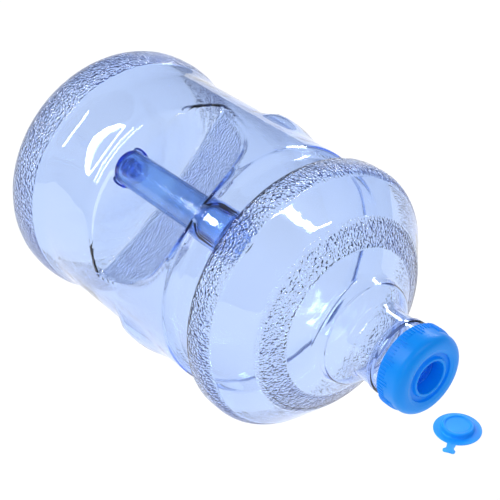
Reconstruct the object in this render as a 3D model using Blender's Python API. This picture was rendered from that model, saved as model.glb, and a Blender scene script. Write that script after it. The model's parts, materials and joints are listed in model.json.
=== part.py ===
"""Large water jug lying on its side, with its carry handle, screw cap, gasket, plug and dust lid.

Metres, +Z up. X runs along the jug from its base to its cap, and Z = 0 is the surface it lies on.
"Along" is the distance from the base plane towards the cap. "Clock" is the angle round the jug,
from straight up towards -Y. "Height" inside the hand pocket is measured from the jug's axis,
towards the handle.
"""
import math

import bmesh
import bpy
from mathutils import Matrix, Vector

MM = 0.001
SEGMENTS = 40
ROD_SEGMENTS = 24
FIT_GAP = 0.3 * MM

# The jug as a whole
LENGTH = 410 * MM
BODY_RADIUS = 111 * MM
WAIST_RADIUS = 105 * MM
WALL = 2 * MM
BASE_X = -LENGTH / 2
AXIS = Vector((0, 0, BODY_RADIUS))

# Base: a shallow push-up, a flat standing ring and a rounded corner
PUSH_UP = 12 * MM
STANDING_RING = (70 * MM, 81 * MM)
CORNER_RADIUS = 30 * MM

# Raised pads on both flanks of the waist
PAD_SPAN = (150 * MM, 205 * MM)
PAD_HEIGHT = 6 * MM
PAD_RISE, PAD_FALL = 17 * MM, 34 * MM
PAD_FROM_HANDLE = math.radians(84)
PAD_HALF_ANGLE, PAD_SIDE_SLOPE = math.radians(17), math.radians(10)

# Neck and its single-start, right-hand thread
NECK_RADIUS = 28.8 * MM
THREAD_ROOT = 28 * MM
THREAD_HEIGHT = 1.6 * MM
MOUTH = 402.5 * MM
LEAD = 6 * MM
THREAD_START = 391 * MM
THREAD_TURNS = 1.5
THREAD_ROOT_WIDTH, THREAD_TIP_WIDTH = 2 * MM, 1 * MM

# Handle rod and the hand pocket behind it
HANDLE_CLOCK = math.radians(41)
HANDLE_HEIGHT = 88 * MM
HANDLE_RADIUS = 14.7 * MM
HANDLE_SPAN = (124.7 * MM, 262.7 * MM)
BOSS_WALL = 1.5 * MM
BOSS_SPAN = (230.8 * MM, 268 * MM)
PIN_RADIUS, PIN_LENGTH = 4.5 * MM, 3 * MM
POCKET_HALF_WIDTH = 100 * MM
POCKET_STATIONS = 13
CREASE_RISE, CREASE_SHIFT = 11.7 * MM, 10 * MM
CREASE_HALF_LENGTH = 86 * MM

# Cap, its well, the gasket under it and the plug in it
CAP_START = 387 * MM
CAP_RADIUS = 32 * MM
CAP_BORE = 30.2 * MM
CAP_SHOULDER = 6 * MM
CAP_UNDERSIDE = 404.9 * MM
RECESS_RADIUS, RECESS_FLOOR = 19.9 * MM, 406.9 * MM
WELL_RADIUS, WELL_WALL, WELL_RIM, WELL_END = 13.2 * MM, 1.5 * MM, 409.3 * MM, 389.5 * MM
PLUG_SPAN = (391.5 * MM, 398.5 * MM)

# Dust lid, lying on its outer face beside the cap
LID_CENTRE = Vector((170.9 * MM, 76 * MM, 0))
LID_RADIUS = 19.55 * MM
LID_THICKNESS = 1.3 * MM
LID_PLUG_RADIUS, LID_PLUG_TOP = 12.8 * MM, 5.5 * MM
TAB_CLOCK = math.radians(-60.4)
TAB_THICKNESS = 0.8 * MM


def clear_scene():
    for item in list(bpy.data.objects):
        bpy.data.objects.remove(item, do_unlink=True)


def plastic(name, colour, roughness, alpha=1.0):
    made = bpy.data.materials.new(name)
    made.use_nodes = True
    shader = made.node_tree.nodes["Principled BSDF"]
    shader.inputs["Base Color"].default_value = (*colour, 1)
    shader.inputs["Roughness"].default_value = roughness
    shader.inputs["Metallic"].default_value = 0
    shader.inputs["Alpha"].default_value = alpha
    return made


def add_object(name, bm, material=None):
    """Turn a bmesh into a named object, smooth on its round faces."""
    bmesh.ops.recalc_face_normals(bm, faces=bm.faces)
    mesh = bpy.data.meshes.new(name)
    bm.to_mesh(mesh)
    bm.free()
    mesh.shade_smooth()
    mesh.set_sharp_from_angle(angle=math.radians(35))
    made = bpy.data.objects.new(name, mesh)
    bpy.context.scene.collection.objects.link(made)
    if material:
        mesh.materials.append(material)
    else:
        made.hide_render = True
        made.display_type = "WIRE"
    return made


def boolean(target, tool, operation="DIFFERENCE"):
    step = target.modifiers.new(tool.name, "BOOLEAN")
    step.operation = operation
    step.object = tool
    step.solver = "EXACT"


def round_point(along, radius, clock, centre=AXIS):
    return Vector((BASE_X + along, -radius * math.sin(clock), radius * math.cos(clock))) + centre


def turned(outline, segments=SEGMENTS, centre=AXIS, swell=None):
    """Turn (along, radius) points round the X axis; flats, not corners, lie at the stated radius."""
    bm = bmesh.new()
    step = 2 * math.pi / segments
    rings = []
    for along, radius in outline:
        if radius < 1e-9:
            rings.append([bm.verts.new(round_point(along, 0, 0, centre))])
            continue
        ring = []
        for index in range(segments):
            clock = (index + 0.5) * step
            extra = swell(along, clock) if swell else 0
            ring.append(bm.verts.new(round_point(along, (radius + extra) / math.cos(step / 2), clock, centre)))
        rings.append(ring)
    closed = len(rings[0]) > 1
    pairs = zip(rings, rings[1:] + rings[:1]) if closed else zip(rings, rings[1:])
    for first, second in pairs:
        bridge(bm, first, second, segments)
    return bm


def bridge(bm, first, second, segments):
    for index in range(segments):
        follow = (index + 1) % segments
        if len(first) == 1:
            bm.faces.new((first[0], second[index], second[follow]))
        elif len(second) == 1:
            bm.faces.new((first[follow], first[index], second[0]))
        else:
            bm.faces.new((first[follow], first[index], second[index], second[follow]))


def inset(outline, distance):
    """Shift an open outline by a distance to its right-hand side, joining corners by their mitre."""
    moved = []
    last = len(outline) - 1
    for index, point in enumerate(outline):
        before = Vector(outline[max(index - 1, 0)])
        here = Vector(point)
        after = Vector(outline[min(index + 1, last)])
        ends = [(b - a).normalized() for a, b in ((before, here), (here, after)) if (b - a).length > 0]
        normals = [Vector((way.y, -way.x)) for way in ends]
        middle = sum(normals, Vector((0, 0))).normalized()
        moved.append(tuple(here + middle * distance / max(middle.dot(normals[0]), 0.5)))
    return moved


def smooth(value):
    value = min(max(value, 0), 1)
    return value * value * (3 - 2 * value)


# --- shell -----------------------------------------------------------------

def base_outline():
    ring_in, ring_out = STANDING_RING
    points = [(PUSH_UP, 0), (PUSH_UP * 0.9, 32 * MM), (PUSH_UP * 0.45, 56 * MM), (0, ring_in), (0, ring_out)]
    for turn in (20, 38, 56, 73, 90):
        angle = math.radians(turn)
        points.append((CORNER_RADIUS * (1 - math.cos(angle)), ring_out + CORNER_RADIUS * math.sin(angle)))
    return points


def body_outline():
    """Waist, groove behind the shoulder ring, the ring itself and the shoulder cone."""
    pad_rings = [(place * MM, WAIST_RADIUS) for place in (158, 167, 180, 193)]
    return ([(38 * MM, 110.4 * MM), (50 * MM, 107.5 * MM), (73 * MM, WAIST_RADIUS), (PAD_SPAN[0], WAIST_RADIUS)]
            + pad_rings
            + [(PAD_SPAN[1], WAIST_RADIUS), (231.7 * MM, WAIST_RADIUS), (236 * MM, 100.4 * MM),
               (242 * MM, 98.4 * MM), (256 * MM, 98.6 * MM), (266 * MM, 106 * MM), (271.5 * MM, BODY_RADIUS),
               (280.5 * MM, BODY_RADIUS), (289.6 * MM, 107.4 * MM), (313.8 * MM, 82.8 * MM),
               (322.6 * MM, 65.5 * MM)])


def neck_outline():
    bead = 30.4 * MM
    return [(329 * MM, 53.5 * MM), (337 * MM, 44.5 * MM), (345 * MM, 41 * MM), (352 * MM, 32 * MM),
            (359 * MM, NECK_RADIUS), (374.5 * MM, NECK_RADIUS), (376 * MM, bead), (379 * MM, bead),
            (380.5 * MM, NECK_RADIUS), (387.2 * MM, THREAD_ROOT), (MOUTH, THREAD_ROOT)]


def pad_swell(along, clock):
    """How far a flank pad stands proud of the waist at this place."""
    start, end = PAD_SPAN
    lengthwise = min(smooth((along - start) / PAD_RISE), smooth((end - along) / PAD_FALL))
    away = min(abs((clock - HANDLE_CLOCK - side * PAD_FROM_HANDLE + math.pi) % (2 * math.pi) - math.pi)
               for side in (-1, 1))
    return PAD_HEIGHT * lengthwise * smooth((PAD_HALF_ANGLE - away) / PAD_SIDE_SLOPE)


def ridge(start, turns, root, tip):
    """A helical thread ridge from its root radius to its tip radius, faded out at both ends."""
    bm = bmesh.new()
    count = int(turns * SEGMENTS)
    sections = []
    for index in range(count + 1):
        clock = 2 * math.pi * (index + 0.5) / SEGMENTS
        along = start + LEAD * index / SEGMENTS
        fade = smooth(min(index, count - index) / 4) * 0.8 + 0.2
        radii = [value / math.cos(math.pi / SEGMENTS) for value in (root, root + (tip - root) * fade)]
        section = [bm.verts.new(round_point(along + side * width / 2, radius, clock))
                   for radius, width, side in ((radii[0], THREAD_ROOT_WIDTH, -1), (radii[1], THREAD_TIP_WIDTH, -1),
                                               (radii[1], THREAD_TIP_WIDTH, 1), (radii[0], THREAD_ROOT_WIDTH, 1))]
        sections.append(section)
    loft(bm, sections)
    return bm


def loft(bm, sections):
    """Skin a row of closed sections, with a face on each end."""
    size = len(sections[0])
    for first, second in zip(sections, sections[1:]):
        for index in range(size):
            follow = (index + 1) % size
            bm.faces.new((first[index], first[follow], second[follow], second[index]))
    bm.faces.new(sections[0][::-1])
    bm.faces.new(sections[-1])


def pocket_section(across):
    """The pocket's outline in (along, height) at one distance across the handle's plane."""
    bow = (across / CREASE_HALF_LENGTH) ** 2
    rise, shift = CREASE_RISE * bow, CREASE_SHIFT * bow
    wall = [(107 * MM, 150 * MM), (107 * MM, 108.5 * MM), (118.7 * MM, 104 * MM), (126 * MM, 92 * MM),
            (131.5 * MM, 74 * MM + rise / 2)]
    crease = [(135.5 * MM + shift, 54 * MM + rise), (138.5 * MM + shift, 50 * MM + rise)]
    ramp = [(162 * MM + shift / 2, 59 * MM + rise * 0.75), (186.7 * MM, 69.5 * MM + rise / 2),
            (208.7 * MM, 82 * MM + rise / 4), (222.7 * MM, 94 * MM), (230.2 * MM, 106 * MM), (230.2 * MM, 150 * MM)]
    return wall + crease + ramp


def pocket(extra):
    """The solid that cuts the hand pocket, grown by extra for the inner face of the wall."""
    bm = bmesh.new()
    outward = Vector((0, -math.sin(HANDLE_CLOCK), math.cos(HANDLE_CLOCK)))
    sideways = Vector((0, -math.cos(HANDLE_CLOCK), -math.sin(HANDLE_CLOCK)))
    sections = []
    for index in range(POCKET_STATIONS):
        across = POCKET_HALF_WIDTH * (2 * index / (POCKET_STATIONS - 1) - 1)
        points = inset(pocket_section(across), extra)
        sections.append([bm.verts.new(AXIS + Vector((BASE_X + along, 0, 0)) + outward * height
                                      + sideways * across) for along, height in points])
    loft(bm, sections)
    return bm


def handle_centre():
    return AXIS + Vector((0, -math.sin(HANDLE_CLOCK), math.cos(HANDLE_CLOCK))) * HANDLE_HEIGHT


def handle_outline(extra):
    """The outside of the rod and its locating pin, grown by extra where it is a cutter."""
    start, end = HANDLE_SPAN
    rod, pin = HANDLE_RADIUS + extra, PIN_RADIUS + extra
    chamfer = 1.2 * MM
    return [(start - PIN_LENGTH - extra, 0), (start - PIN_LENGTH - extra, pin), (start - extra, pin),
            (start - extra, rod - chamfer), (start - extra + chamfer, rod), (end + extra - chamfer, rod),
            (end + extra, rod - chamfer)]


def handle_socket(extra):
    """The solid that cuts the round sockets which hold the rod."""
    outline = handle_outline(extra)
    return turned(outline + [(outline[-1][0], 0)], ROD_SEGMENTS, handle_centre())


def socket_boss():
    """The round bulge that carries the rod's end past the groove behind the pocket."""
    radius = HANDLE_RADIUS + FIT_GAP + BOSS_WALL
    start, end = BOSS_SPAN
    return turned([(start, 0), (start, radius), (end, radius), (end, 0)], ROD_SEGMENTS, handle_centre())


def make_shell(material):
    outline = base_outline() + body_outline() + neck_outline()
    shell = add_object("bottle_shell", turned(outline + [(MOUTH, 0)], swell=pad_swell), material)
    hollow = inset(outline, WALL)
    hollow[0] = (hollow[0][0], 0)
    bore = hollow[-1][1]
    core = add_object("core_cutter", turned(hollow + [(MOUTH + 9 * MM, bore), (MOUTH + 9 * MM, 0)],
                                            swell=pad_swell))
    boolean(core, add_object("inner_pocket_cutter", pocket(WALL)))
    boolean(core, add_object("inner_socket_cutter", handle_socket(FIT_GAP + WALL)))
    thread = ridge(THREAD_START, THREAD_TURNS, THREAD_ROOT - 0.5 * MM, THREAD_ROOT + THREAD_HEIGHT)
    boolean(shell, add_object("neck_thread", thread), "UNION")
    boolean(shell, add_object("pocket_cutter", pocket(0)))
    boolean(shell, add_object("socket_boss", socket_boss()), "UNION")
    boolean(shell, add_object("socket_cutter", handle_socket(FIT_GAP)))
    boolean(shell, core)


def make_handle(material):
    """The rod is cored out from its shoulder end, so that its wall is as thin as the shell's."""
    start, end = HANDLE_SPAN
    bore = HANDLE_RADIUS - WALL
    outline = handle_outline(0) + [(end, bore), (start + WALL, bore), (start + WALL, 0)]
    add_object("carry_handle", turned(outline, ROD_SEGMENTS, handle_centre()), material)


# --- cap and its small parts -------------------------------------------------

def cap_outline():
    front = LENGTH
    shoulder = [(front - CAP_SHOULDER * (1 - math.sin(angle)), CAP_RADIUS - CAP_SHOULDER * (1 - math.cos(angle)))
                for angle in (math.radians(turn) for turn in (0, 22.5, 45, 67.5, 90))]
    well_out = WELL_RADIUS + WELL_WALL
    return ([(CAP_START, CAP_BORE), (CAP_START, CAP_RADIUS - 0.4 * MM), (CAP_START + 2 * MM, CAP_RADIUS)]
            + shoulder
            + [(front, RECESS_RADIUS + 0.8 * MM), (front - 0.8 * MM, RECESS_RADIUS), (RECESS_FLOOR, RECESS_RADIUS),
               (RECESS_FLOOR, well_out), (WELL_RIM, well_out), (WELL_RIM, WELL_RADIUS), (WELL_END, WELL_RADIUS),
               (WELL_END, well_out), (CAP_UNDERSIDE, well_out), (CAP_UNDERSIDE, CAP_BORE)])


def make_cap(material):
    cap = add_object("screw_cap", turned(cap_outline()), material)
    thread = ridge(THREAD_START + LEAD / 2, THREAD_TURNS - 0.25, CAP_BORE + 0.5 * MM, CAP_BORE - THREAD_HEIGHT)
    boolean(cap, add_object("cap_thread", thread), "UNION")


def make_gasket(material):
    back, front = MOUTH + FIT_GAP, CAP_UNDERSIDE - FIT_GAP
    inner, outer = 24 * MM, 29 * MM
    add_object("cap_gasket", turned([(back, inner), (back, outer), (front, outer), (front, inner)]), material)


def make_plug(material):
    back, front = PLUG_SPAN
    radius = WELL_RADIUS - FIT_GAP
    outline = [(back, 0), (back, radius - 0.8 * MM), (back + 0.8 * MM, radius), (front, radius),
               (front, radius - 2.2 * MM), (front - 3.2 * MM, radius - 3 * MM), (front - 3.2 * MM, 0)]
    add_object("spill_plug", turned(outline), material)


def lid_body():
    """The lid turned round its own upright axis: a disc with a raised plug on its inner face."""
    plug, top = LID_PLUG_RADIUS, LID_PLUG_TOP
    outline = [(0, 0), (0, LID_RADIUS - 0.4 * MM), (0.4 * MM, LID_RADIUS), (LID_THICKNESS, LID_RADIUS),
               (LID_THICKNESS, plug), (top - 0.8 * MM, plug), (top, plug - 0.8 * MM), (top, plug - 1.8 * MM),
               (top - 0.9 * MM, plug - 2.6 * MM), (top - 0.9 * MM, 0)]
    bm = turned([(along - BASE_X, radius) for along, radius in outline], centre=Vector((0, 0, 0)))
    upright = Matrix.Rotation(math.radians(-90), 4, "Y")
    bmesh.ops.transform(bm, matrix=upright, verts=bm.verts)
    return bm


def lid_tab():
    """A flat pull tab, waisted near the disc and round at its end."""
    half = [(15 * MM, 3.2 * MM), (23 * MM, 3.2 * MM), (25 * MM, 4.2 * MM), (27 * MM, 5.2 * MM),
            (29 * MM, 5.2 * MM), (30.6 * MM, 3.6 * MM)]
    outline = half + [(reach, -side) for reach, side in reversed(half)]
    bm = bmesh.new()
    lower, upper = ([bm.verts.new((reach, side, level)) for reach, side in outline]
                    for level in (0, TAB_THICKNESS))
    loft(bm, [lower, upper])
    return bm


def make_lid(material):
    place = Matrix.Translation(LID_CENTRE) @ Matrix.Rotation(TAB_CLOCK, 4, "Z")
    disc, tab = lid_body(), lid_tab()
    for bm in (disc, tab):
        bmesh.ops.transform(bm, matrix=place, verts=bm.verts)
    lid = add_object("dust_lid", disc, material)
    boolean(lid, add_object("lid_tab", tab), "UNION")


clear_scene()
clear_blue = plastic("clear blue polycarbonate", (0.45, 0.66, 0.95), 0.05, 0.35)
deep_blue = plastic("blue polycarbonate", (0.30, 0.55, 0.95), 0.08, 0.6)
cap_blue = plastic("bright blue polyethylene", (0.02, 0.29, 0.95), 0.35)
white_foam = plastic("white foam", (0.85, 0.87, 0.9), 0.7)
make_shell(clear_blue)
make_handle(deep_blue)
make_cap(cap_blue)
make_gasket(white_foam)
make_plug(cap_blue)
make_lid(cap_blue)
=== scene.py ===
# %% [markdown]
# # A large clear water jug
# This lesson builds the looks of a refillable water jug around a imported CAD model: a clear blue
# blown bottle, its carry handle, a screw cap with a plug and gasket, and a dust lid lying beside it.
# Each step first says what the piece is on the real jug and how it could be made.

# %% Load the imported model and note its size
import json
import math

import bpy
import numpy as np
from mathutils import Matrix, Vector

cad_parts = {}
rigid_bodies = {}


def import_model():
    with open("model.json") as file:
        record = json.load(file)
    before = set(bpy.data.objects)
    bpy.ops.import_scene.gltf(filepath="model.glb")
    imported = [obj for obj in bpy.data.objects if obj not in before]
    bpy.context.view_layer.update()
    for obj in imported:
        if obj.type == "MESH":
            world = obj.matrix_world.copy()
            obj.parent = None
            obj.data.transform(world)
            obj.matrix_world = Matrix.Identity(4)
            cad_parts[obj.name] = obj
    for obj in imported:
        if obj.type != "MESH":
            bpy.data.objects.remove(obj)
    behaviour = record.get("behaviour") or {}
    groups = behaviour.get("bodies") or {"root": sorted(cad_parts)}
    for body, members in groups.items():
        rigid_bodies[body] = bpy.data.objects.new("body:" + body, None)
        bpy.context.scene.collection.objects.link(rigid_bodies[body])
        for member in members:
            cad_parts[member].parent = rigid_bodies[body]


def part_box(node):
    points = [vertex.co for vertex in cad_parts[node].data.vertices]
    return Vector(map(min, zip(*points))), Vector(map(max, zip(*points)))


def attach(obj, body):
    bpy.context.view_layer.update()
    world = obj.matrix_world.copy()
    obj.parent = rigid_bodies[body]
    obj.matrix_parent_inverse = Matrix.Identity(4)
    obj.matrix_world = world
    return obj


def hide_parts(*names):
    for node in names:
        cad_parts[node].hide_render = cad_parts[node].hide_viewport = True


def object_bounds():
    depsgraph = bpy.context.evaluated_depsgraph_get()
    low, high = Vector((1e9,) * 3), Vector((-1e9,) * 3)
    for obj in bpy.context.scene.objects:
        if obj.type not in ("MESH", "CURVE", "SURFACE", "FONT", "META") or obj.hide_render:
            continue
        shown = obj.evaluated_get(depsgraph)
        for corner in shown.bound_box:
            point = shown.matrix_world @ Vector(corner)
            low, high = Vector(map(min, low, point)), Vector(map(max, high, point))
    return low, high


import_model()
cad_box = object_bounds()
CAD_LOW, CAD_HIGH = Vector(cad_box[0]), Vector(cad_box[1])
print("CAD box:", [round(value, 4) for value in (*CAD_LOW, *CAD_HIGH)])

# %% [markdown]
# ## One set of measures
# The jug is round about an axis that runs along X. Every outline below is a list of
# (along, radius, fillet) in millimetres, where "along" starts at the base plane. Working in the
# maker's own millimetres keeps the numbers readable, and one function turns them into metres.

# %% Where the jug is
MM = 0.001
BASE_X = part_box("bottle_shell")[0][0]
AXIS_HEIGHT = (CAD_HIGH.z + CAD_LOW.z) / 2
AXIS = Vector((0, 0, AXIS_HEIGHT))
CAP_FRONT = (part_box("screw_cap")[1][0] - BASE_X) / MM
print("base at x =", round(BASE_X, 4), "axis height", round(AXIS_HEIGHT, 4))
print("length", round(CAP_FRONT, 1), "mm")


def at(along, radius, clock=0.0):
    """A point at a distance along the jug, a radius, and an angle from straight up towards -Y."""
    sideways, upwards = -math.sin(clock), math.cos(clock)
    return AXIS + Vector((BASE_X + along * MM, radius * MM * sideways, radius * MM * upwards))


# %% [markdown]
# ## Hand tools
# Everything selected is changed by an operator, so each tool starts by deselecting all. `spun`
# draws an outline by extruding a single vertex from point to point and spins it round the axis,
# which is how a turned or blown shape is drawn by hand.

# %% Selecting and editing
def only(piece):
    if bpy.context.mode != "OBJECT":
        bpy.ops.object.mode_set(mode="OBJECT")
    bpy.ops.object.select_all(action="DESELECT")
    piece.select_set(True)
    bpy.context.view_layer.objects.active = piece


def edit(piece, mode="VERT"):
    only(piece)
    bpy.ops.object.mode_set(mode="EDIT")
    bpy.ops.mesh.select_mode(type=mode)
    bpy.ops.mesh.select_all(action="DESELECT")


def done(piece, angle=35):
    """Leave edit mode, put the place into the mesh and shade the round faces smooth."""
    only(piece)
    bpy.ops.object.transform_apply(location=True, rotation=True, scale=True)
    bpy.ops.object.shade_smooth_by_angle(angle=math.radians(angle))
    return piece


def rename(name):
    piece = bpy.context.object
    piece.name = piece.data.name = name
    return piece


def pick(piece, test, kind="vertices"):
    """Select the vertices, edges or faces whose middle passes a test, in edit mode."""
    bpy.ops.mesh.select_all(action="DESELECT")
    bpy.ops.object.mode_set(mode="OBJECT")
    mesh = piece.data
    for item in getattr(mesh, kind):
        if kind == "vertices":
            middle = item.co
        elif kind == "polygons":
            middle = item.center
        else:
            middle = (mesh.vertices[item.vertices[0]].co + mesh.vertices[item.vertices[1]].co) / 2
        item.select = bool(test(middle))
    bpy.ops.object.mode_set(mode="EDIT")


def cleaned(piece, reach=0.000002):
    """Merge doubled vertices and turn the faces outwards."""
    edit(piece)
    bpy.ops.mesh.select_all(action="SELECT")
    bpy.ops.mesh.remove_doubles(threshold=reach)
    bpy.ops.mesh.normals_make_consistent(inside=False)
    bpy.ops.object.mode_set(mode="OBJECT")
    return piece


# %% [markdown]
# ## Rounded outlines
# A moulded part has no knife edges. `rounded` replaces each corner of an outline by an arc of its
# own fillet radius, and `stepped` cuts long stretches into steps short enough to be bent later.

# %% Outlines with fillets
def rounded(corners, arc_step=12):
    path = []
    for index, (along, radius, fillet) in enumerate(corners):
        here = Vector((along, radius))
        if fillet == 0 or index in (0, len(corners) - 1):
            path.append(here)
            continue
        back = (Vector(corners[index - 1][:2]) - here).normalized()
        ahead = (Vector(corners[index + 1][:2]) - here).normalized()
        half = back.angle(ahead) / 2
        centre = here + (back + ahead).normalized() * fillet / math.sin(half)
        first = here + back * fillet / math.tan(half) - centre
        last = here + ahead * fillet / math.tan(half) - centre
        count = max(2, math.ceil(math.degrees(first.angle(last)) / arc_step))
        arc = [first.slerp(last, turn / count).normalized() for turn in range(count + 1)]
        path += [centre + way * fillet for way in arc]
    return path


def stepped(path, step):
    """Cut a path into steps no longer than step(along) says."""
    cut = [path[0]]
    for start, end in zip(path, path[1:]):
        pieces = max(1, math.ceil((end - start).length / step((start.x + end.x) / 2) - 0.3))
        cut += [start.lerp(end, part / pieces) for part in range(1, pieces + 1)]
    return cut


def spun(name, path, sectors, centre=None, upright=False):
    """Extrude one vertex along a path and spin it round an axis, in sectors of (from, to, steps)."""
    centre = at(0, 0) if centre is None else centre
    length = Vector((0, 0, 1)) if upright else Vector((1, 0, 0))
    outwards = Vector((1, 0, 0)) if upright else Vector((0, 0, 1))
    bpy.ops.mesh.primitive_plane_add(size=MM)
    piece = rename(name)
    edit(piece)
    bpy.ops.mesh.select_all(action="SELECT")
    bpy.ops.mesh.merge(type="CENTER")
    places = [centre + (length * point.x + outwards * point.y) * MM for point in path]
    bpy.ops.transform.translate(value=places[0])
    for before, after in zip(places, places[1:]):
        bpy.ops.mesh.extrude_region_move(TRANSFORM_OT_translate={"value": after - before})
    bpy.ops.mesh.select_all(action="SELECT")
    if sectors[0][0]:
        bpy.ops.transform.rotate(value=-sectors[0][0], orient_axis="X", center_override=centre)
    for begin, end, steps in sectors:
        bpy.ops.mesh.spin(steps=steps, angle=begin - end, center=centre, axis=length)
    return cleaned(piece)


ROUND = [(0, 2 * math.pi, 96)]
print("hand tools ready")

# %% [markdown]
# ## The bottle shell
# The real shell is blown in one piece: a tube of hot plastic is inflated against a mould, so every
# corner is round and the wall is about 2 mm all over. It could be cut from solids with booleans, but
# then the soft rims would have to be bevelled one by one. Here the outline is spun once, and the hand
# pocket and the flank pads are pressed into it by moving its vertices along their radius, which is
# just what the mould does. A soft minimum rounds the rim where pocket and waist meet.

# %% The shell's outline
WALL = 2.0
MOUTH = (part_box("bottle_shell")[1][0] - BASE_X) / MM
BODY_RADIUS = AXIS_HEIGHT / MM
WAIST_RADIUS = BODY_RADIUS - 6
NECK_RADIUS = 28.8
BASE_BAND = (9, 49)
RING_BAND = (268.5, 289.6)
SHOULDER_BAND = (313.8, 322.6)
WAIST_END = 231.7

shell_corners = [
    (12, 0, 0), (11, 34, 40), (0, 66, 14), (0, BODY_RADIUS, 30), (40, BODY_RADIUS, 24),
    (63, WAIST_RADIUS, 46), (WAIST_END, WAIST_RADIUS, 4), (238.5, 98.2, 6), (257.5, 98.2, 7),
    (270, BODY_RADIUS, 6), (286.1, BODY_RADIUS, 11), (SHOULDER_BAND[0], 82.8, 12),
    (SHOULDER_BAND[1], 65.5, 14), (335, 43.5, 6), (344.5, 42, 4), (351.5, 30.5, 4), (357, NECK_RADIUS, 9),
    (MOUTH, NECK_RADIUS, 0)]


def shell_step(along):
    """Fine steps where the pocket's steep wall and the thread will be pressed, wide ones elsewhere."""
    if 104 < along < 146:
        return 1.5
    if 146 < along < WAIST_END + 8:
        return 2.4
    return 0.8 if along > 372 else 4.0


shell_path = stepped(rounded(shell_corners), shell_step)
print("shell outline:", len(shell_path), "points")

# %% Spin it, finer round the hand pocket
HANDLE_CLOCK = math.radians(41)
HANDLE_HEIGHT, HANDLE_RADIUS = 88, 14.7
HANDLE_FROM, HANDLE_TO = 124.7, 262.7
POCKET_REACH = math.radians(66)
fine_from, fine_to = HANDLE_CLOCK - POCKET_REACH, HANDLE_CLOCK + POCKET_REACH
shell_sectors = [(fine_from, fine_to, 116), (fine_to, fine_from + 2 * math.pi, 70)]
shell = spun("jug_shell", shell_path, shell_sectors)
print("spun shell:", len(shell.data.polygons), "faces")


# %% Reading and moving vertices in the jug's own measures
def places(piece):
    """Every vertex as distance along, radius and clock angle, in millimetres and radians."""
    flat = np.empty(len(piece.data.vertices) * 3)
    piece.data.vertices.foreach_get("co", flat)
    x, y, z = flat.reshape(-1, 3).T
    up = z - AXIS_HEIGHT
    return (x - BASE_X) / MM, np.hypot(y, up) / MM, np.arctan2(-y, up)


def move_radially(piece, radius):
    along, _, clock = places(piece)
    x = BASE_X + along * MM
    y = -radius * MM * np.sin(clock)
    z = radius * MM * np.cos(clock) + AXIS_HEIGHT
    piece.data.vertices.foreach_set("co", np.stack([x, y, z], axis=1).ravel())
    piece.data.update()


def smooth(value):
    value = np.clip(value, 0, 1)
    return value * value * (3 - 2 * value)


def soft_min(first, second, reach):
    near = np.clip(1 - np.abs(first - second) / reach, 0, 1)
    return np.minimum(first, second) - near * near * reach / 4


def angle_from(clock, centre):
    return (clock - centre + math.pi) % (2 * math.pi) - math.pi


# %% The hand pocket
POCKET_RIM, POCKET_RIM_HEIGHT = 107, 108.5
CREASE_ALONG, CREASE_HEIGHT = 138, 49.5
CREASE_HALF_LENGTH, CREASE_SOFTNESS = 86, 13


def pocket_height(along, across):
    """Height of the pocket's surface above the jug's axis: a steep wall meets a long ramp in a crease."""
    bow = (across / CREASE_HALF_LENGTH) ** 2
    from_rim = along - POCKET_RIM - 10 * bow
    wall = (POCKET_RIM_HEIGHT - 0.00389 * np.maximum(from_rim, 0) ** 2.85
            + 0.35 * np.maximum(POCKET_RIM - along, 0))
    up_ramp = np.maximum(along - CREASE_ALONG, 0)
    ramp = (CREASE_HEIGHT + 0.38 * (along - CREASE_ALONG) + 5.6 * (up_ramp / 70.7) ** 5
            + 11.7 * bow * (1 - up_ramp / 94))
    return -soft_min(-wall, -ramp, CREASE_SOFTNESS)


def pocket_radius(along, clock):
    away = angle_from(clock, HANDLE_CLOCK)
    open_side = np.abs(away) < math.radians(76)
    slant = np.where(open_side, np.cos(away), 1)
    radius = pocket_height(along, 0 * along) / slant
    for _ in range(6):
        radius = pocket_height(along, np.minimum(radius, BODY_RADIUS) * np.sin(away)) / slant
    return np.where(open_side, radius, 10 * BODY_RADIUS)


along, radius, clock = places(shell)
rim_softness = 4 + 18 * smooth((150 - along) / 24)
pressed = soft_min(radius, pocket_radius(along, clock), rim_softness)
lowest = pressed[(along > 120) & (along < 230)].min()
print("deepest point of the pocket:", round(float(lowest), 1), "mm from the axis")

# %% The boss that carries the handle's far end past the groove
BOSS_RADIUS = HANDLE_RADIUS + 1.8
BOSS_SPAN = (230.8, 268)
BOSS_SOFTNESS = 8
away = angle_from(clock, HANDLE_CLOCK)
chord = np.sqrt(np.maximum(BOSS_RADIUS ** 2 - (HANDLE_HEIGHT * np.sin(away)) ** 2, 0))
boss = np.where(np.abs(away) < 1, HANDLE_HEIGHT * np.cos(away) + chord, 0)
behind = (along > BOSS_SPAN[0]) & (along < BOSS_SPAN[1])
pressed = np.where(behind, -soft_min(-pressed, -boss, BOSS_SOFTNESS), pressed)
print("boss raises the groove by", round(float((boss - radius)[behind].max()), 1), "mm")

# %% The flank pads
PAD_SPAN, PAD_RISE, PAD_FALL = (150, 205), 17, 34
PAD_HEIGHT = 5.9
PAD_FROM_HANDLE = math.radians(84)
PAD_HALF_ANGLE, PAD_SIDE_SLOPE = math.radians(17), math.radians(10)
rising, falling = smooth((along - PAD_SPAN[0]) / PAD_RISE), smooth((PAD_SPAN[1] - along) / PAD_FALL)
sideways = 0
for side in (-1, 1):
    away = np.abs(angle_from(clock, HANDLE_CLOCK + side * PAD_FROM_HANDLE))
    sideways = sideways + smooth((PAD_HALF_ANGLE - away) / PAD_SIDE_SLOPE)
body_radius = pressed + PAD_HEIGHT * np.minimum(rising, falling) * sideways
move_radially(shell, body_radius)
only(shell)
bpy.ops.object.shade_smooth()
print("pads pressed out by", round(float((body_radius - pressed).max()), 1), "mm")

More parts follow.
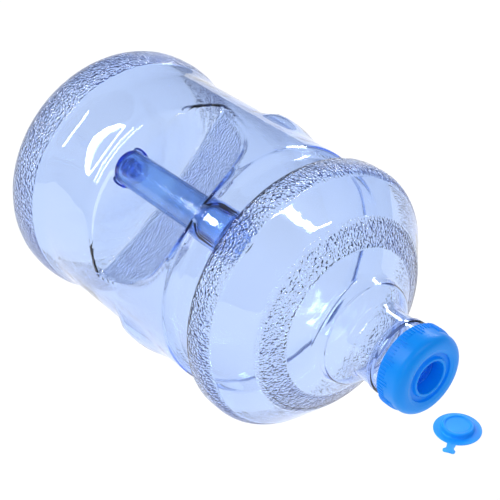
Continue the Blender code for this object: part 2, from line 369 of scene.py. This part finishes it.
# %% [markdown]
# ## Wall thickness, neck thread and handle sockets
# The hollow of the jug is a copy of the outer skin shrunk by the wall's thickness with Shrink/Fatten.
# A pin keeps the bore of the neck round while such a jug is blown, so bead and thread stand on the
# outer skin only. The copy is closed and subtracted, together with the round sockets that hold the handle.

# %% A copy for the hollow
only(shell)
bpy.ops.object.duplicate()
hollow = rename("hollow")
edit(hollow)
bpy.ops.mesh.select_all(action="SELECT")
bpy.ops.transform.shrink_fatten(value=-WALL * MM, use_even_offset=False)
pick(hollow, lambda co: WAIST_END - 8 < (co.x - BASE_X) / MM < WAIST_END + 4)
bpy.ops.mesh.vertices_smooth(factor=0.5, repeat=10)
pick(hollow, lambda co: (co.x - BASE_X) / MM > MOUTH - 0.3)
bpy.ops.mesh.extrude_region_move(TRANSFORM_OT_translate={"value": (6 * MM, 0, 0)})
bpy.ops.mesh.edge_face_add()
cleaned(hollow)
along_in, radius_in, _ = places(hollow)
print("neck bore radius:", round(float(radius_in[along_in > MOUTH + 5].min()), 2), "mm")

# %% Bead, thread and the closed mouth on the outer skin
LEAD = 6
THREAD_START, THREAD_TURNS = 391, 1.5
THREAD_HEIGHT, THREAD_HALF_ROOT, THREAD_FLANK = 1.55, 1.15, 0.6
BEAD_ALONG, BEAD_HEIGHT = 377.5, 1.6
STEP_ALONG, STEP_DOWN = 386.4, 0.8


def thread_height(along, clock):
    """A trapezoid ridge that climbs one lead in each turn and fades out at both ends."""
    first = (clock % (2 * math.pi)) / (2 * math.pi)
    height = 0 * along
    for turn in (0, 1):
        reached = first + turn
        fade = smooth(np.minimum(reached, THREAD_TURNS - reached) / 0.09)
        away = np.abs(along - THREAD_START - LEAD * reached)
        flank = np.clip((THREAD_HALF_ROOT - away) / THREAD_FLANK, 0, 1)
        height = np.maximum(height, THREAD_HEIGHT * fade * flank)
    return height


along, radius, clock = places(shell)
bead = BEAD_HEIGHT * smooth((3.2 - np.abs(along - BEAD_ALONG)) / 1.4)
step_down = STEP_DOWN * smooth((along - STEP_ALONG) / 1.2)
move_radially(shell, radius + np.where(along > 370, bead - step_down + thread_height(along, clock), 0))
edit(shell)
pick(shell, lambda co: (co.x - BASE_X) / MM > MOUTH - 0.01)
bpy.ops.mesh.edge_face_add()
bpy.ops.object.mode_set(mode="OBJECT")
print("outer skin closed:", len(shell.data.polygons), "faces")

# %% A mark that tells the outer skin from the hollow
for piece, value in ((shell, 1.0), (hollow, 0.0)):
    mark = piece.data.attributes.new("outside", "FLOAT", "POINT")
    mark.data.foreach_set("value", np.full(len(piece.data.vertices), value))


# %% Round socket cutters along the handle
PIN_RADIUS, PIN_LENGTH = 4.5, 3
handle_axis = at(0, HANDLE_HEIGHT, HANDLE_CLOCK)


def socket_cutter(name, grow):
    start, end, rod = HANDLE_FROM - grow, HANDLE_TO + grow, HANDLE_RADIUS + grow
    pin, tip = PIN_RADIUS + grow, start - PIN_LENGTH
    corners = [(tip, 0, 0), (tip, pin, 0.6), (start, pin, 0.6), (start, rod, 2.2),
               (end, rod, 2.2), (end, 0, 0)]
    cutter = spun(name, rounded(corners, arc_step=30), [(0, 2 * math.pi, 64)], centre=handle_axis)
    mark = cutter.data.attributes.new("outside", "FLOAT", "POINT")
    mark.data.foreach_set("value", np.zeros(len(cutter.data.vertices)))
    return cutter


def cut(target, tool, operation="DIFFERENCE"):
    """Apply a Boolean and throw its tool away."""
    only(target)
    bpy.ops.object.modifier_add(type="BOOLEAN")
    step = target.modifiers[-1]
    step.operation, step.object, step.solver = operation, tool, "EXACT"
    bpy.ops.object.modifier_apply(modifier=step.name)
    bpy.data.objects.remove(tool)


FIT_GAP = 0.3
cut(hollow, socket_cutter("cup_cutter", FIT_GAP + WALL))
cut(shell, socket_cutter("rod_cutter", FIT_GAP))
cut(shell, hollow)
done(shell, angle=38)
triangles = sum(len(face.vertices) - 2 for face in shell.data.polygons)
print("jug shell:", len(shell.data.polygons), "faces,", triangles, "triangles")

# %% [markdown]
# ## The carry handle
# A length of round tube sits in the two sockets of the pocket. It could
# stay a plain cylinder, but the real one has a rounded end with a small locating pin, a fine
# lengthwise grain from being drawn, and it is hollow, so light bends twice in it. The outline of
# outside and inside is spun in one go.

# %% The handle
HANDLE_WALL = 2.0
HANDLE_BORE = HANDLE_RADIUS - HANDLE_WALL
PIN_TIP, INNER_END = HANDLE_FROM - PIN_LENGTH, HANDLE_FROM + 3
RIDGE_TOP, POST_TOP = HANDLE_FROM + 9, HANDLE_FROM + 7
handle_corners = [
    (PIN_TIP, 0, 0), (PIN_TIP, PIN_RADIUS, 1.2), (HANDLE_FROM, PIN_RADIUS, 0.8),
    (HANDLE_FROM, HANDLE_RADIUS, 2), (HANDLE_TO, HANDLE_RADIUS, 0.5), (HANDLE_TO, HANDLE_BORE, 0.5),
    (INNER_END, HANDLE_BORE, 3), (INNER_END, 8.2, 1), (RIDGE_TOP, 7.8, 0.7), (RIDGE_TOP, 6.2, 0.7),
    (INNER_END, 5.8, 0.8), (INNER_END, 3.2, 0.8), (POST_TOP, 2.8, 1), (POST_TOP, 0, 0)]
handle_path = stepped(rounded(handle_corners), lambda along: 6)
handle = done(spun("carry_tube", handle_path, [(0, 2 * math.pi, 120)], centre=handle_axis), angle=40)
print("handle:", len(handle.data.polygons), "faces, hollow")

# %% [markdown]
# ## The screw cap
# The cap is moulded in soft plastic. Its skirt grips with fine ribs in groups of six, two long ones
# and then four short ones, and with two raised pads on opposite sides. The top is a fat rounded
# shoulder, a shallow dish, a raised ring and a deep well. The body is one spun outline that runs
# over the top and back up inside; ribs and pads are boxes with bevelled edges, joined on.

# %% The cap's body
CAP_START, CAP_FACE, CAP_RADIUS = 387, 410, 32
DISH_RADIUS, DISH_FLOOR = 19.9, 406.9
WELL_RADIUS, WELL_RIM, WELL_END, WELL_WALL = 13.2, 409.3, 389.5, 1.5
CAP_BORE, CAP_UNDERSIDE = 30.2, 404.9

cap_corners = [
    (CAP_START, CAP_BORE, 0), (CAP_START, CAP_RADIUS - 0.3, 0.5), (CAP_START + 2, CAP_RADIUS, 1),
    (CAP_FACE, CAP_RADIUS, 7), (CAP_FACE - 0.1, DISH_RADIUS + 3, 2), (CAP_FACE - 1, DISH_RADIUS, 0.8),
    (DISH_FLOOR, DISH_RADIUS - 0.2, 0.8), (DISH_FLOOR, WELL_RADIUS + 3, 0.8),
    (WELL_RIM, WELL_RADIUS + 2, 0.9), (WELL_RIM, WELL_RADIUS, 0.8),
    (WELL_END, WELL_RADIUS - 0.1, 0.3), (WELL_END, WELL_RADIUS + WELL_WALL, 0.3),
    (CAP_UNDERSIDE, WELL_RADIUS + WELL_WALL, 0.8), (CAP_UNDERSIDE, CAP_BORE, 0.6), (CAP_START, CAP_BORE, 0)]
cap_path = stepped(rounded(cap_corners, arc_step=8), lambda along: 0.9)
cap = spun("cap_body", cap_path, [(0, 2 * math.pi, 180)])
along, radius, clock = places(cap)
bore = (np.abs(radius - CAP_BORE) < 0.1) & (along < CAP_UNDERSIDE - 0.4) & (along > CAP_START + 0.1)
move_radially(cap, radius - np.where(bore, thread_height(along - LEAD / 2, clock), 0))
print("cap body:", len(cap.data.polygons), "faces with its inside thread")

# %% Grip ribs, one group of six spun round the skirt
RIB_GROUPS, RIBS_IN_GROUP = 12, 6
RIB_TURN = 2 * math.pi / (RIB_GROUPS * RIBS_IN_GROUP)
RIB_WIDTH, RIB_PROUD = 0.9, 0.6
LONG_RIB, SHORT_RIB = 10, 6.5


def rib(length, clock, radius, start=CAP_START + 0.5):
    """A bar with soft edges, half sunk in the skirt."""
    middle = at(start + length / 2, radius, clock)
    bpy.ops.mesh.primitive_cube_add(size=MM, location=middle, rotation=(clock, 0, 0))
    bar = rename("grip_rib")
    bpy.ops.transform.resize(value=(length, RIB_WIDTH, 2 * RIB_PROUD), orient_type="LOCAL")
    edit(bar)
    bpy.ops.mesh.select_all(action="SELECT")
    bpy.ops.mesh.bevel(offset=0.26 * MM, segments=2, affect="EDGES")
    return done(bar)


def joined(pieces):
    """Join pieces into the first of them."""
    only(pieces[0])
    for piece in pieces[1:]:
        piece.select_set(True)
    bpy.ops.object.join()
    return pieces[0]


def spread(piece, copies, turn):
    """Spin copies of a piece round the jug's axis."""
    edit(piece)
    bpy.ops.mesh.select_all(action="SELECT")
    bpy.ops.mesh.spin(steps=copies, angle=copies * turn, dupli=True, center=AXIS, axis=(1, 0, 0))
    bpy.ops.object.mode_set(mode="OBJECT")
    return piece


long_ribs = spread(rib(LONG_RIB, 0, CAP_RADIUS), 1, RIB_TURN)
short_ribs = spread(rib(SHORT_RIB, -2 * RIB_TURN, CAP_RADIUS), 3, RIB_TURN)
skirt_ribs = spread(joined([long_ribs, short_ribs]), RIB_GROUPS - 1, RIBS_IN_GROUP * RIB_TURN)
print("skirt ribs:", RIB_GROUPS * RIBS_IN_GROUP, "with", len(skirt_ribs.data.polygons), "faces")

# %% Two raised pads with ribs of their own
PAD_PROUD, PAD_TURN = 0.8, math.radians(34)
CAP_PAD_CLOCKS = [math.radians(-46), math.radians(134)]


def cap_pad(clock):
    corners = [(CAP_START + 0.4, CAP_RADIUS - 1, 0), (CAP_START + 0.4, CAP_RADIUS + PAD_PROUD, 0.5),
               (CAP_START + 12, CAP_RADIUS + PAD_PROUD, 0.7), (CAP_START + 13, CAP_RADIUS - 1, 0),
               (CAP_START + 0.4, CAP_RADIUS - 1, 0)]
    pad = spun("cap_pad", rounded(corners), [(clock - PAD_TURN / 2, clock + PAD_TURN / 2, 18)])
    edit(pad)
    bpy.ops.mesh.select_all(action="SELECT")
    bpy.ops.mesh.fill_holes(sides=0)
    bpy.ops.mesh.normals_make_consistent(inside=False)
    bpy.ops.object.mode_set(mode="OBJECT")
    return pad


for pad_clock in CAP_PAD_CLOCKS:
    cut(cap, cap_pad(pad_clock), "UNION")
    first_rib = rib(9.5, pad_clock - 2.5 * RIB_TURN, CAP_RADIUS + PAD_PROUD, CAP_START + 1)
    cut(cap, spread(first_rib, 5, -RIB_TURN), "UNION")
cut(cap, skirt_ribs, "UNION")
done(cap, angle=38)
print("cap:", len(cap.data.polygons), "faces")

# %% [markdown]
# ## Gasket and spill plug
# A ring of white foam under the cap seals the jug's mouth, and a cup in the cap's well is pushed in
# by the dispenser's probe. Both are small turned parts, so each is one spun outline: the gasket
# with soft edges, the plug with a thin raised rim round a dished face that catches the light.

# %% The gasket
GASKET_INNER, GASKET_OUTER = 24, 29
gasket_low, gasket_high = [(corner[0] - BASE_X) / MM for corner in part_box("cap_gasket")]
gasket_corners = [
    (gasket_low, (GASKET_INNER + GASKET_OUTER) / 2, 0), (gasket_low, GASKET_OUTER, 0.6),
    (gasket_high, GASKET_OUTER, 0.6), (gasket_high, GASKET_INNER, 0.6), (gasket_low, GASKET_INNER, 0.6),
    (gasket_low, (GASKET_INNER + GASKET_OUTER) / 2, 0)]
gasket = done(spun("foam_gasket", rounded(gasket_corners), ROUND))
print("gasket:", round(gasket_high - gasket_low, 1), "mm thick")

# %% The spill plug
plug_low, plug_high = [(corner[0] - BASE_X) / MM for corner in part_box("spill_plug")]
PLUG_RADIUS = 12.9
plug_corners = [
    (plug_low, 0, 0), (plug_low, PLUG_RADIUS - 1.5, 0.8), (plug_low + 2, PLUG_RADIUS, 0.8),
    (plug_high, PLUG_RADIUS, 0.35), (plug_high, PLUG_RADIUS - 0.9, 0.35),
    (plug_high - 1.6, PLUG_RADIUS - 1.2, 0.5), (plug_high - 1.6, 8.4, 0.3), (plug_high - 0.7, 8.1, 0.3),
    (plug_high - 0.7, 7.2, 0.3), (plug_high - 2.4, 6.9, 0.6), (plug_high - 3.2, 0, 0)]
plug = spun("well_plug", stepped(rounded(plug_corners), lambda along: 2), ROUND)
TEETH = 24
tooth = rib(1.4, 0, PLUG_RADIUS - 2.1, plug_high - 2)
cut(plug, spread(tooth, TEETH - 1, 2 * math.pi / TEETH), "UNION")
done(plug, angle=38)
print("plug:", len(plug.data.polygons), "faces")

# %% [markdown]
# ## The dust lid
# The lid is a thin disc with a raised stopper and a tab shaped like a dog's bone to pull it by. It
# lies on its outer face, with the stopper up. The disc and stopper are one outline spun round an
# upright line, and the tab is an outline with round corners, filled, thickened and joined on.

# %% Disc and stopper
lid_low, lid_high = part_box("dust_lid")
LID_RADIUS, LID_THICK = 19.55, 1.3
STOPPER_RADIUS, STOPPER_HEIGHT = 12.8, (lid_high[2] - lid_low[2]) / MM
LID_CENTRE = Vector((0.1709, 0.076, lid_low[2]))
lid_corners = [
    (0, 0, 0), (0, LID_RADIUS - 0.1, 0.5), (LID_THICK - 0.2, LID_RADIUS, 0.5),
    (LID_THICK, STOPPER_RADIUS + 0.3, 1.3),
    (STOPPER_HEIGHT, STOPPER_RADIUS, 1.1), (STOPPER_HEIGHT, STOPPER_RADIUS - 2.2, 1),
    (STOPPER_HEIGHT - 0.8, STOPPER_RADIUS - 3.2, 1), (STOPPER_HEIGHT - 0.9, 0, 0)]
lid_path = stepped(rounded(lid_corners, arc_step=10), lambda along: 2)
lid = spun("lid_disc", lid_path, [(0, 2 * math.pi, 144)], centre=LID_CENTRE, upright=True)
print("lid stands", round(STOPPER_HEIGHT, 2), "mm high with its stopper up")

# %% The pull tab
TAB_REACH, TAB_THICK = 30.6, 0.8
TAB_NECK, TAB_END = 6.4, 10.4
TAB_WAY = math.radians(-60.4)


def tab_outline():
    """Half the tab's edge, mirrored: (out from the lid's centre, sideways, fillet)."""
    side = [(LID_RADIUS - 3, TAB_NECK / 2 + 0.9, 0), (LID_RADIUS + 1, TAB_NECK / 2 + 0.3, 6),
            (TAB_REACH - 5.6, TAB_NECK / 2 - 0.2, 2.5), (TAB_REACH - 3.9, TAB_END / 2, 1.6),
            (TAB_REACH, TAB_END / 2 - 0.4, 2), (TAB_REACH - 0.5, 0, 0)]
    upper = rounded(side)
    lower = [Vector((point.x, -point.y)) for point in reversed(upper)]
    return upper + lower[1:]


outline = tab_outline()
turned = [Vector((point.x * math.cos(TAB_WAY) - point.y * math.sin(TAB_WAY),
                  point.x * math.sin(TAB_WAY) + point.y * math.cos(TAB_WAY), 0.2)) * MM + LID_CENTRE
          for point in outline]
bpy.ops.mesh.primitive_plane_add(size=MM)
tab = rename("pull_tab")
edit(tab)
bpy.ops.mesh.select_all(action="SELECT")
bpy.ops.mesh.merge(type="CENTER")
bpy.ops.transform.translate(value=turned[0])
for before, after in zip(turned, turned[1:]):
    bpy.ops.mesh.extrude_region_move(TRANSFORM_OT_translate={"value": after - before})
bpy.ops.mesh.select_all(action="SELECT")
bpy.ops.mesh.edge_face_add()
bpy.ops.mesh.extrude_region_move(TRANSFORM_OT_translate={"value": (0, 0, TAB_THICK * MM)})
bpy.ops.mesh.select_all(action="SELECT")
bpy.ops.mesh.normals_make_consistent(inside=False)
only(tab)
bpy.ops.object.modifier_add(type="BEVEL")
edge_soft = tab.modifiers[-1]
edge_soft.width, edge_soft.segments, edge_soft.angle_limit = 0.3 * MM, 2, math.radians(60)
bpy.ops.object.modifier_apply(modifier=edge_soft.name)
cut(lid, tab, "UNION")
done(lid, angle=38)
print("lid:", len(lid.data.polygons), "faces")

# %% [markdown]
# ## Sums on sockets
# Finishes are built from nodes. To read like arithmetic, a small class wraps a node's output so that
# `a * b + 1` adds the Math nodes for it, and one method adds any other node: its settings first,
# then what goes into its sockets.

# %% Wires and finishes
class Wire:
    """The output of a node. Sums on wires add Math nodes."""

    def __init__(self, finish, socket):
        self.finish, self.socket = finish, socket

    def math(self, operation, *others):
        values = dict(enumerate((self, *others)))
        return self.finish.node("ShaderNodeMath", {"operation": operation}, values)

    def __add__(self, other):
        return self.math("ADD", other)

    def __radd__(self, other):
        return self.math("ADD", other)

    def __sub__(self, other):
        return self.math("SUBTRACT", other)

    def __rsub__(self, other):
        return self.math("MULTIPLY", -1.0) + other

    def __mul__(self, other):
        return self.math("MULTIPLY", other)

    def __rmul__(self, other):
        return self.math("MULTIPLY", other)

    def between(self, low, high, blur):
        """1 between two values and 0 outside, with soft edges."""
        rise = self.step(low - blur / 2, low + blur / 2)
        return rise * (1 - self.step(high - blur / 2, high + blur / 2))

    def step(self, low, high, first=0.0, last=1.0):
        settings = {"interpolation_type": "SMOOTHSTEP"}
        sockets = {"Value": self, "From Min": low, "From Max": high, "To Min": first, "To Max": last}
        return self.finish.node("ShaderNodeMapRange", settings, sockets)


class Finish:
    """A material with one Principled shader, built up node by node."""

    def __init__(self, name, **constants):
        self.material = bpy.data.materials.new(name)
        self.material.use_nodes = True
        self.tree = self.material.node_tree
        self.shader = self.tree.nodes["Principled BSDF"]
        self.set(**constants)

    def node(self, kind, settings=None, sockets=None, output=0):
        made = self.tree.nodes.new(kind)
        for name, value in (settings or {}).items():
            setattr(made, name, value)
        for name, value in (sockets or {}).items():
            self.feed(made.inputs[name], value)
        return Wire(self, made.outputs[output])

    def feed(self, socket, value):
        if isinstance(value, Wire):
            self.tree.links.new(value.socket, socket)
        else:
            socket.default_value = value

    def set(self, **values):
        for name, value in values.items():
            self.feed(self.shader.inputs[name.replace("_", " ")], value)

    def place(self, stretch=(1, 1, 1)):
        """Object coordinates in millimetres from the jug's axis at its base, stretched per axis."""
        here = self.node("ShaderNodeTexCoord", output=3)
        scale = tuple(1 / (MM * factor) for factor in stretch)
        shift = tuple(-value * factor for value, factor in zip(at(0, 0), scale))
        return self.node("ShaderNodeMapping", None, {"Vector": here, "Location": shift, "Scale": scale})

    def noise(self, size, detail=3, stretch=(1, 1, 1), roughness=0.5):
        """Noise whose patches are about `size` millimetres, from 0 to 1."""
        sockets = {"Vector": self.place(stretch), "Scale": 1 / size}
        sockets.update({"Detail": detail, "Roughness": roughness})
        return self.node("ShaderNodeTexNoise", None, sockets)

    def mix(self, amount, first, second):
        """A colour between two colours."""
        made = self.tree.nodes.new("ShaderNodeMix")
        made.data_type = "RGBA"
        for name, value in (("Factor_Float", amount), ("A_Color", first), ("B_Color", second)):
            socket = next(item for item in made.inputs if item.identifier == name)
            self.feed(socket, (*value, 1) if isinstance(value, tuple) else value)
        return Wire(self, next(item for item in made.outputs if item.identifier == "Result_Color"))

    def relief(self, *layers):
        """Bumps on one another: each layer is (height from 0 to 1, depth in millimetres)."""
        normal = None
        for height, depth in layers:
            sockets = {"Height": height, "Strength": 1.0, "Distance": depth * MM}
            if normal:
                sockets["Normal"] = normal
            normal = self.node("ShaderNodeBump", None, sockets)
        self.set(Normal=normal)


def paint(piece, finish):
    piece.data.materials.clear()
    piece.data.materials.append(finish.material)


print("wires and finishes ready")

# %% [markdown]
# ## Clear blue plastic
# Bottle plastic is clear, and its blue comes from dye in the wall, so it is pale where light crosses
# one wall squarely and deep where it runs along a wall at the limbs. A tinted surface cannot do
# that. Real wall thickness with a volume that absorbs red does. The mould's hammered bands and the
# hammered pocket floor are small bumps on the outer skin only, found by their place along the jug.

# %% The bottle's finish
PEBBLE, PEBBLE_DEPTH = 2.0, 1.0
POCKET_SHARE = 0.35
MARK_DEPTH, RIPPLE_SIZE, RIPPLE_DEPTH = 0.35, 38, 0.35
RAMP_END = 226
MARK_FROM_AXIS, MARK_CLOCK = 80, math.radians(47)
MARK_RING, MARK_SPOKES = (3.5, 10.5), 24


def dyed(finish, density, colour):
    """Dye in the wall: a volume that absorbs what its colour lacks."""
    volume = finish.tree.nodes.new("ShaderNodeVolumeAbsorption")
    volume.inputs["Color"].default_value = (*colour, 1)
    volume.inputs["Density"].default_value = density
    output = finish.tree.nodes["Material Output"]
    finish.tree.links.new(volume.outputs[0], output.inputs["Volume"])


clear = Finish("clear_blue_plastic", Transmission_Weight=1.0, IOR=1.585, Base_Color=(0.97, 0.985, 1, 1))
dyed(clear, 150, (0.10, 0.42, 0.95))
along_wire = clear.node("ShaderNodeSeparateXYZ", None, {"Vector": clear.place()})
sideways_only = clear.node("ShaderNodeVectorMath", {"operation": "MULTIPLY"},
                           {0: clear.place(), 1: (0, 1, 1)})
out_wire = clear.node("ShaderNodeVectorMath", {"operation": "LENGTH"}, {0: sideways_only}, output=1)
outer_skin = clear.node("ShaderNodeAttribute", {"attribute_name": "outside"}, output=2)
bands = (along_wire.between(*BASE_BAND, 3) * out_wire.step(90, 94) + along_wire.between(*RING_BAND, 2.5)
         + along_wire.between(*SHOULDER_BAND, 1.2))
across_way = (0, -math.cos(HANDLE_CLOCK), -math.sin(HANDLE_CLOCK))
across_wire = clear.node("ShaderNodeVectorMath", {"operation": "DOT_PRODUCT"},
                         {0: clear.place(), 1: across_way}, output=1)
past_crease = along_wire - across_wire * across_wire * (10 / CREASE_HALF_LENGTH ** 2)
pocket_zone = past_crease.between(CREASE_ALONG + 2, RAMP_END, 5) * (1 - out_wire.step(98, 101))
hammered = (bands + pocket_zone * POCKET_SHARE) * outer_skin
cells = clear.node("ShaderNodeTexVoronoi", {"feature": "SMOOTH_F1"},
                   {"Vector": clear.place(), "Scale": 1 / PEBBLE, "Smoothness": 0.35, "Randomness": 0.9})
ripple = clear.noise(RIPPLE_SIZE, detail=2)
mark_spot = tuple((at(0, MARK_FROM_AXIS, MARK_CLOCK) - at(0, 0)) / MM)
from_mark = clear.node("ShaderNodeVectorMath", {"operation": "SUBTRACT"}, {0: clear.place(), 1: mark_spot})
mark_y = clear.node("ShaderNodeSeparateXYZ", None, {"Vector": from_mark}, output=1)
mark_z = clear.node("ShaderNodeSeparateXYZ", None, {"Vector": from_mark}, output=2)
from_centre = (mark_y * mark_y + mark_z * mark_z).math("SQRT")
spokes = (mark_z.math("ARCTAN2", mark_y) * MARK_SPOKES).math("SINE") * 0.5 + 0.5
mark = spokes * from_centre.between(*MARK_RING, 1) * (1 - along_wire.step(11, 13)) * outer_skin
clear.relief((cells * hammered, PEBBLE_DEPTH), (mark, MARK_DEPTH), (ripple, RIPPLE_DEPTH))
clear.set(Roughness=0.015 + 0.05 * hammered + 0.02 * clear.noise(60))
paint(shell, clear)
print("clear plastic:", len(clear.tree.nodes), "nodes")

# %% [markdown]
# ## Handle, cap and small parts
# The handle's tube is dyed deeper and drawn lengthwise, so its grain is noise stretched along the
# jug. The cap, plug and lid are opaque soft plastic: satin, a little light passing under the skin,
# a faint moulded grain, and a slightly paler blue where the plastic is thin.

# %% The handle's finish
tube = Finish("handle_plastic", Transmission_Weight=1.0, IOR=1.585, Base_Color=(0.96, 0.985, 1, 1))
dyed(tube, 230, (0.06, 0.50, 0.92))
grain = tube.noise(1.1, detail=4, stretch=(60, 1, 1))
wave = tube.noise(14, detail=2)
tube.relief((grain, 0.12), (wave, 0.3))
tube.set(Roughness=0.02 + 0.06 * grain)
paint(handle, tube)


# %% Opaque soft plastic
def soft_plastic(name, colour, thin_colour, thinness=None, gloss=0.33):
    """Satin blue plastic. `thinness` is where the paler colour of thin plastic shows."""
    finish = Finish(name, Subsurface_Weight=0.12, Subsurface_Scale=0.004, IOR=1.45, Coat_Roughness=0.3)
    finish.set(Specular_IOR_Level=0.25)
    finish.shader.inputs["Subsurface Radius"].default_value = (0.2, 0.6, 1.0)
    clouds = finish.noise(18, detail=3)
    orange_peel = finish.noise(0.9, detail=2)
    scuffs = finish.noise(5, detail=6, roughness=0.7).step(0.56, 0.7)
    shade = finish.mix(0.12 * clouds, colour, tuple(part * 0.82 for part in colour))
    if thinness is not None:
        shade = finish.mix(thinness(finish), shade, thin_colour)
    finish.set(Base_Color=shade, Roughness=gloss + 0.1 * clouds + 0.08 * scuffs)
    finish.set(Coat_Weight=0.06 - 0.04 * scuffs)
    finish.relief((orange_peel, 0.02), (clouds, 0.05))
    return finish


CAP_BLUE = (0.0, 0.30, 0.95)
THIN_BLUE = (0.05, 0.38, 0.95)
cap_finish = soft_plastic("cap_plastic", CAP_BLUE, THIN_BLUE)
plug_finish = soft_plastic("plug_plastic", (0.01, 0.235, 0.92), THIN_BLUE, gloss=0.25)


def towards_tab(finish):
    """Distance from the lid's centre, so that the thin disc and its tab come out paler."""
    centre = tuple((LID_CENTRE[axis] - at(0, 0)[axis]) / MM * (axis < 2) for axis in range(3))
    flat = finish.node("ShaderNodeVectorMath", {"operation": "MULTIPLY"}, {0: finish.place(), 1: (1, 1, 0)})
    away = finish.node("ShaderNodeVectorMath", {"operation": "DISTANCE"}, {0: flat, 1: centre}, output=1)
    return away.step(STOPPER_RADIUS, TAB_REACH, 0.1, 0.9)


lid_finish = soft_plastic("lid_plastic", CAP_BLUE, THIN_BLUE, towards_tab)
for piece, finish in ((cap, cap_finish), (plug, plug_finish), (lid, lid_finish)):
    paint(piece, finish)
print("soft plastics:", [finish.material.name for finish in (cap_finish, plug_finish, lid_finish)])

# %% Foam
foam = Finish("gasket_foam", IOR=1.45)
pores = foam.node("ShaderNodeTexVoronoi", None, {"Vector": foam.place(), "Scale": 1 / 0.35})
# The darker colour is painted shade: it fills the pits of the pores, where the bump sinks, and the paler
# colour is the foam itself.
FOAM_PORE_SHADE, FOAM_PALE = (0.62, 0.66, 0.7), (0.86, 0.88, 0.9)
foam.set(Base_Color=foam.mix(pores.step(0.1, 0.5), FOAM_PORE_SHADE, FOAM_PALE), Roughness=0.75 + 0.2 * pores)
foam.relief((pores, 0.08))
paint(gasket, foam)
print("foam has", len(foam.tree.nodes), "nodes")

# %% [markdown]
# ## What rides on what
# Each new piece stands for a CAD node and moves with that node's body.

# %% Riding and replacing
for piece, node, body, slot in (
        (shell, "bottle_shell", "bottle", "clear_blue_plastic"),
        (handle, "carry_handle", "bottle", "handle_plastic"),
        (gasket, "cap_gasket", "seal", "gasket_foam"), (cap, "screw_cap", "cap", "cap_plastic"),
        (plug, "spill_plug", "plug", "plug_plastic"), (lid, "dust_lid", "lid", "lid_plastic")):
    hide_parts(node)
    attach(piece, body)
    print(piece.name, "rides on", body)

# %% [markdown]
# ## Floor, light and camera
# Clear plastic shows only what is round it: a white floor behind it, and softboxes mirrored in it. The
# floor itself glows so that it reads as plain white, and the shell casts no shadow, because
# clear plastic would otherwise darken the floor far more than it really does.

# %% Floor
only(shell)
bpy.ops.object.select_all(action="DESELECT")
bpy.ops.mesh.primitive_plane_add(size=12, location=(0, 0, CAD_LOW.z - 0.0002))
floor = rename("studio_floor")
paper = Finish("white_paper", Base_Color=(0.12, 0.12, 0.12, 1), Roughness=0.9, Emission_Strength=0.93)
paper.set(Emission_Color=(1, 1, 1, 1))
paint(floor, paper)
shell.visible_shadow = False

# %% Softboxes
LOOK_AT = Vector((0.02, 0, 0.11))


def softbox(name, way, long_way, size, watts, distance=1.6):
    """A lamp seen from the jug in direction `way`, with its long side along `long_way`."""
    facing = Vector(way).normalized()
    length = (Vector(long_way) - facing * facing.dot(Vector(long_way))).normalized()
    lamp = bpy.data.lights.new(name, "AREA")
    lamp.shape, lamp.size, lamp.size_y = "RECTANGLE", *size
    lamp.energy = watts
    holder = bpy.data.objects.new(name, lamp)
    bpy.context.scene.collection.objects.link(holder)
    axes = Matrix((length, facing.cross(length), facing)).transposed()
    holder.matrix_world = Matrix.Translation(LOOK_AT + facing * distance) @ axes.to_4x4()
    return holder


softbox("band_strip", (-0.37, -0.55, 0.75), (0, -0.8, -0.6), (0.9, 0.09), 7)
softbox("crease_strip", (-0.63, -0.48, 0.61), (0, -0.8, -0.6), (0.8, 0.06), 4)
softbox("cone_strip", (0.67, 0.08, 0.71), (0, 1, 0), (1.2, 0.035), 4)
softbox("back_strip", (-0.3, 0.85, 0.5), (1, 0, 0), (1.0, 0.2), 8)
softbox("front_fill", (0.5, -0.7, 0.5), (1, 0, 0), (0.9, 0.9), 5, distance=2.2)
print("softboxes placed")
sky = bpy.data.worlds.new("studio_sky")
bpy.context.scene.world = sky
sky.use_nodes = True
sky.node_tree.nodes["Background"].inputs["Color"].default_value = (0.32, 0.36, 0.47, 1)
sky.node_tree.nodes["Background"].inputs["Strength"].default_value = 0.9

# %% Camera
VIEW_WAY = Vector((-0.6535, 0.5271, -0.5432))
lens = bpy.data.cameras.new("camera")
lens.lens, lens.sensor_width = 93.6, 36
camera = bpy.data.objects.new("camera", lens)
bpy.context.scene.collection.objects.link(camera)
camera.location = (0.6845, -0.551, 0.684)
camera.rotation_euler = VIEW_WAY.to_track_quat("-Z", "Y").to_euler()
bpy.context.scene.camera = camera
print("camera at", [round(value, 3) for value in camera.location])

# %% Light paths and tone
scene = bpy.context.scene
scene.view_settings.view_transform = "Standard"
scene.cycles.max_bounces = 24
scene.cycles.transmission_bounces = 24
scene.cycles.transparent_max_bounces = 24
scene.cycles.glossy_bounces = 8
scene.cycles.caustics_reflective = False
scene.cycles.caustics_refractive = True
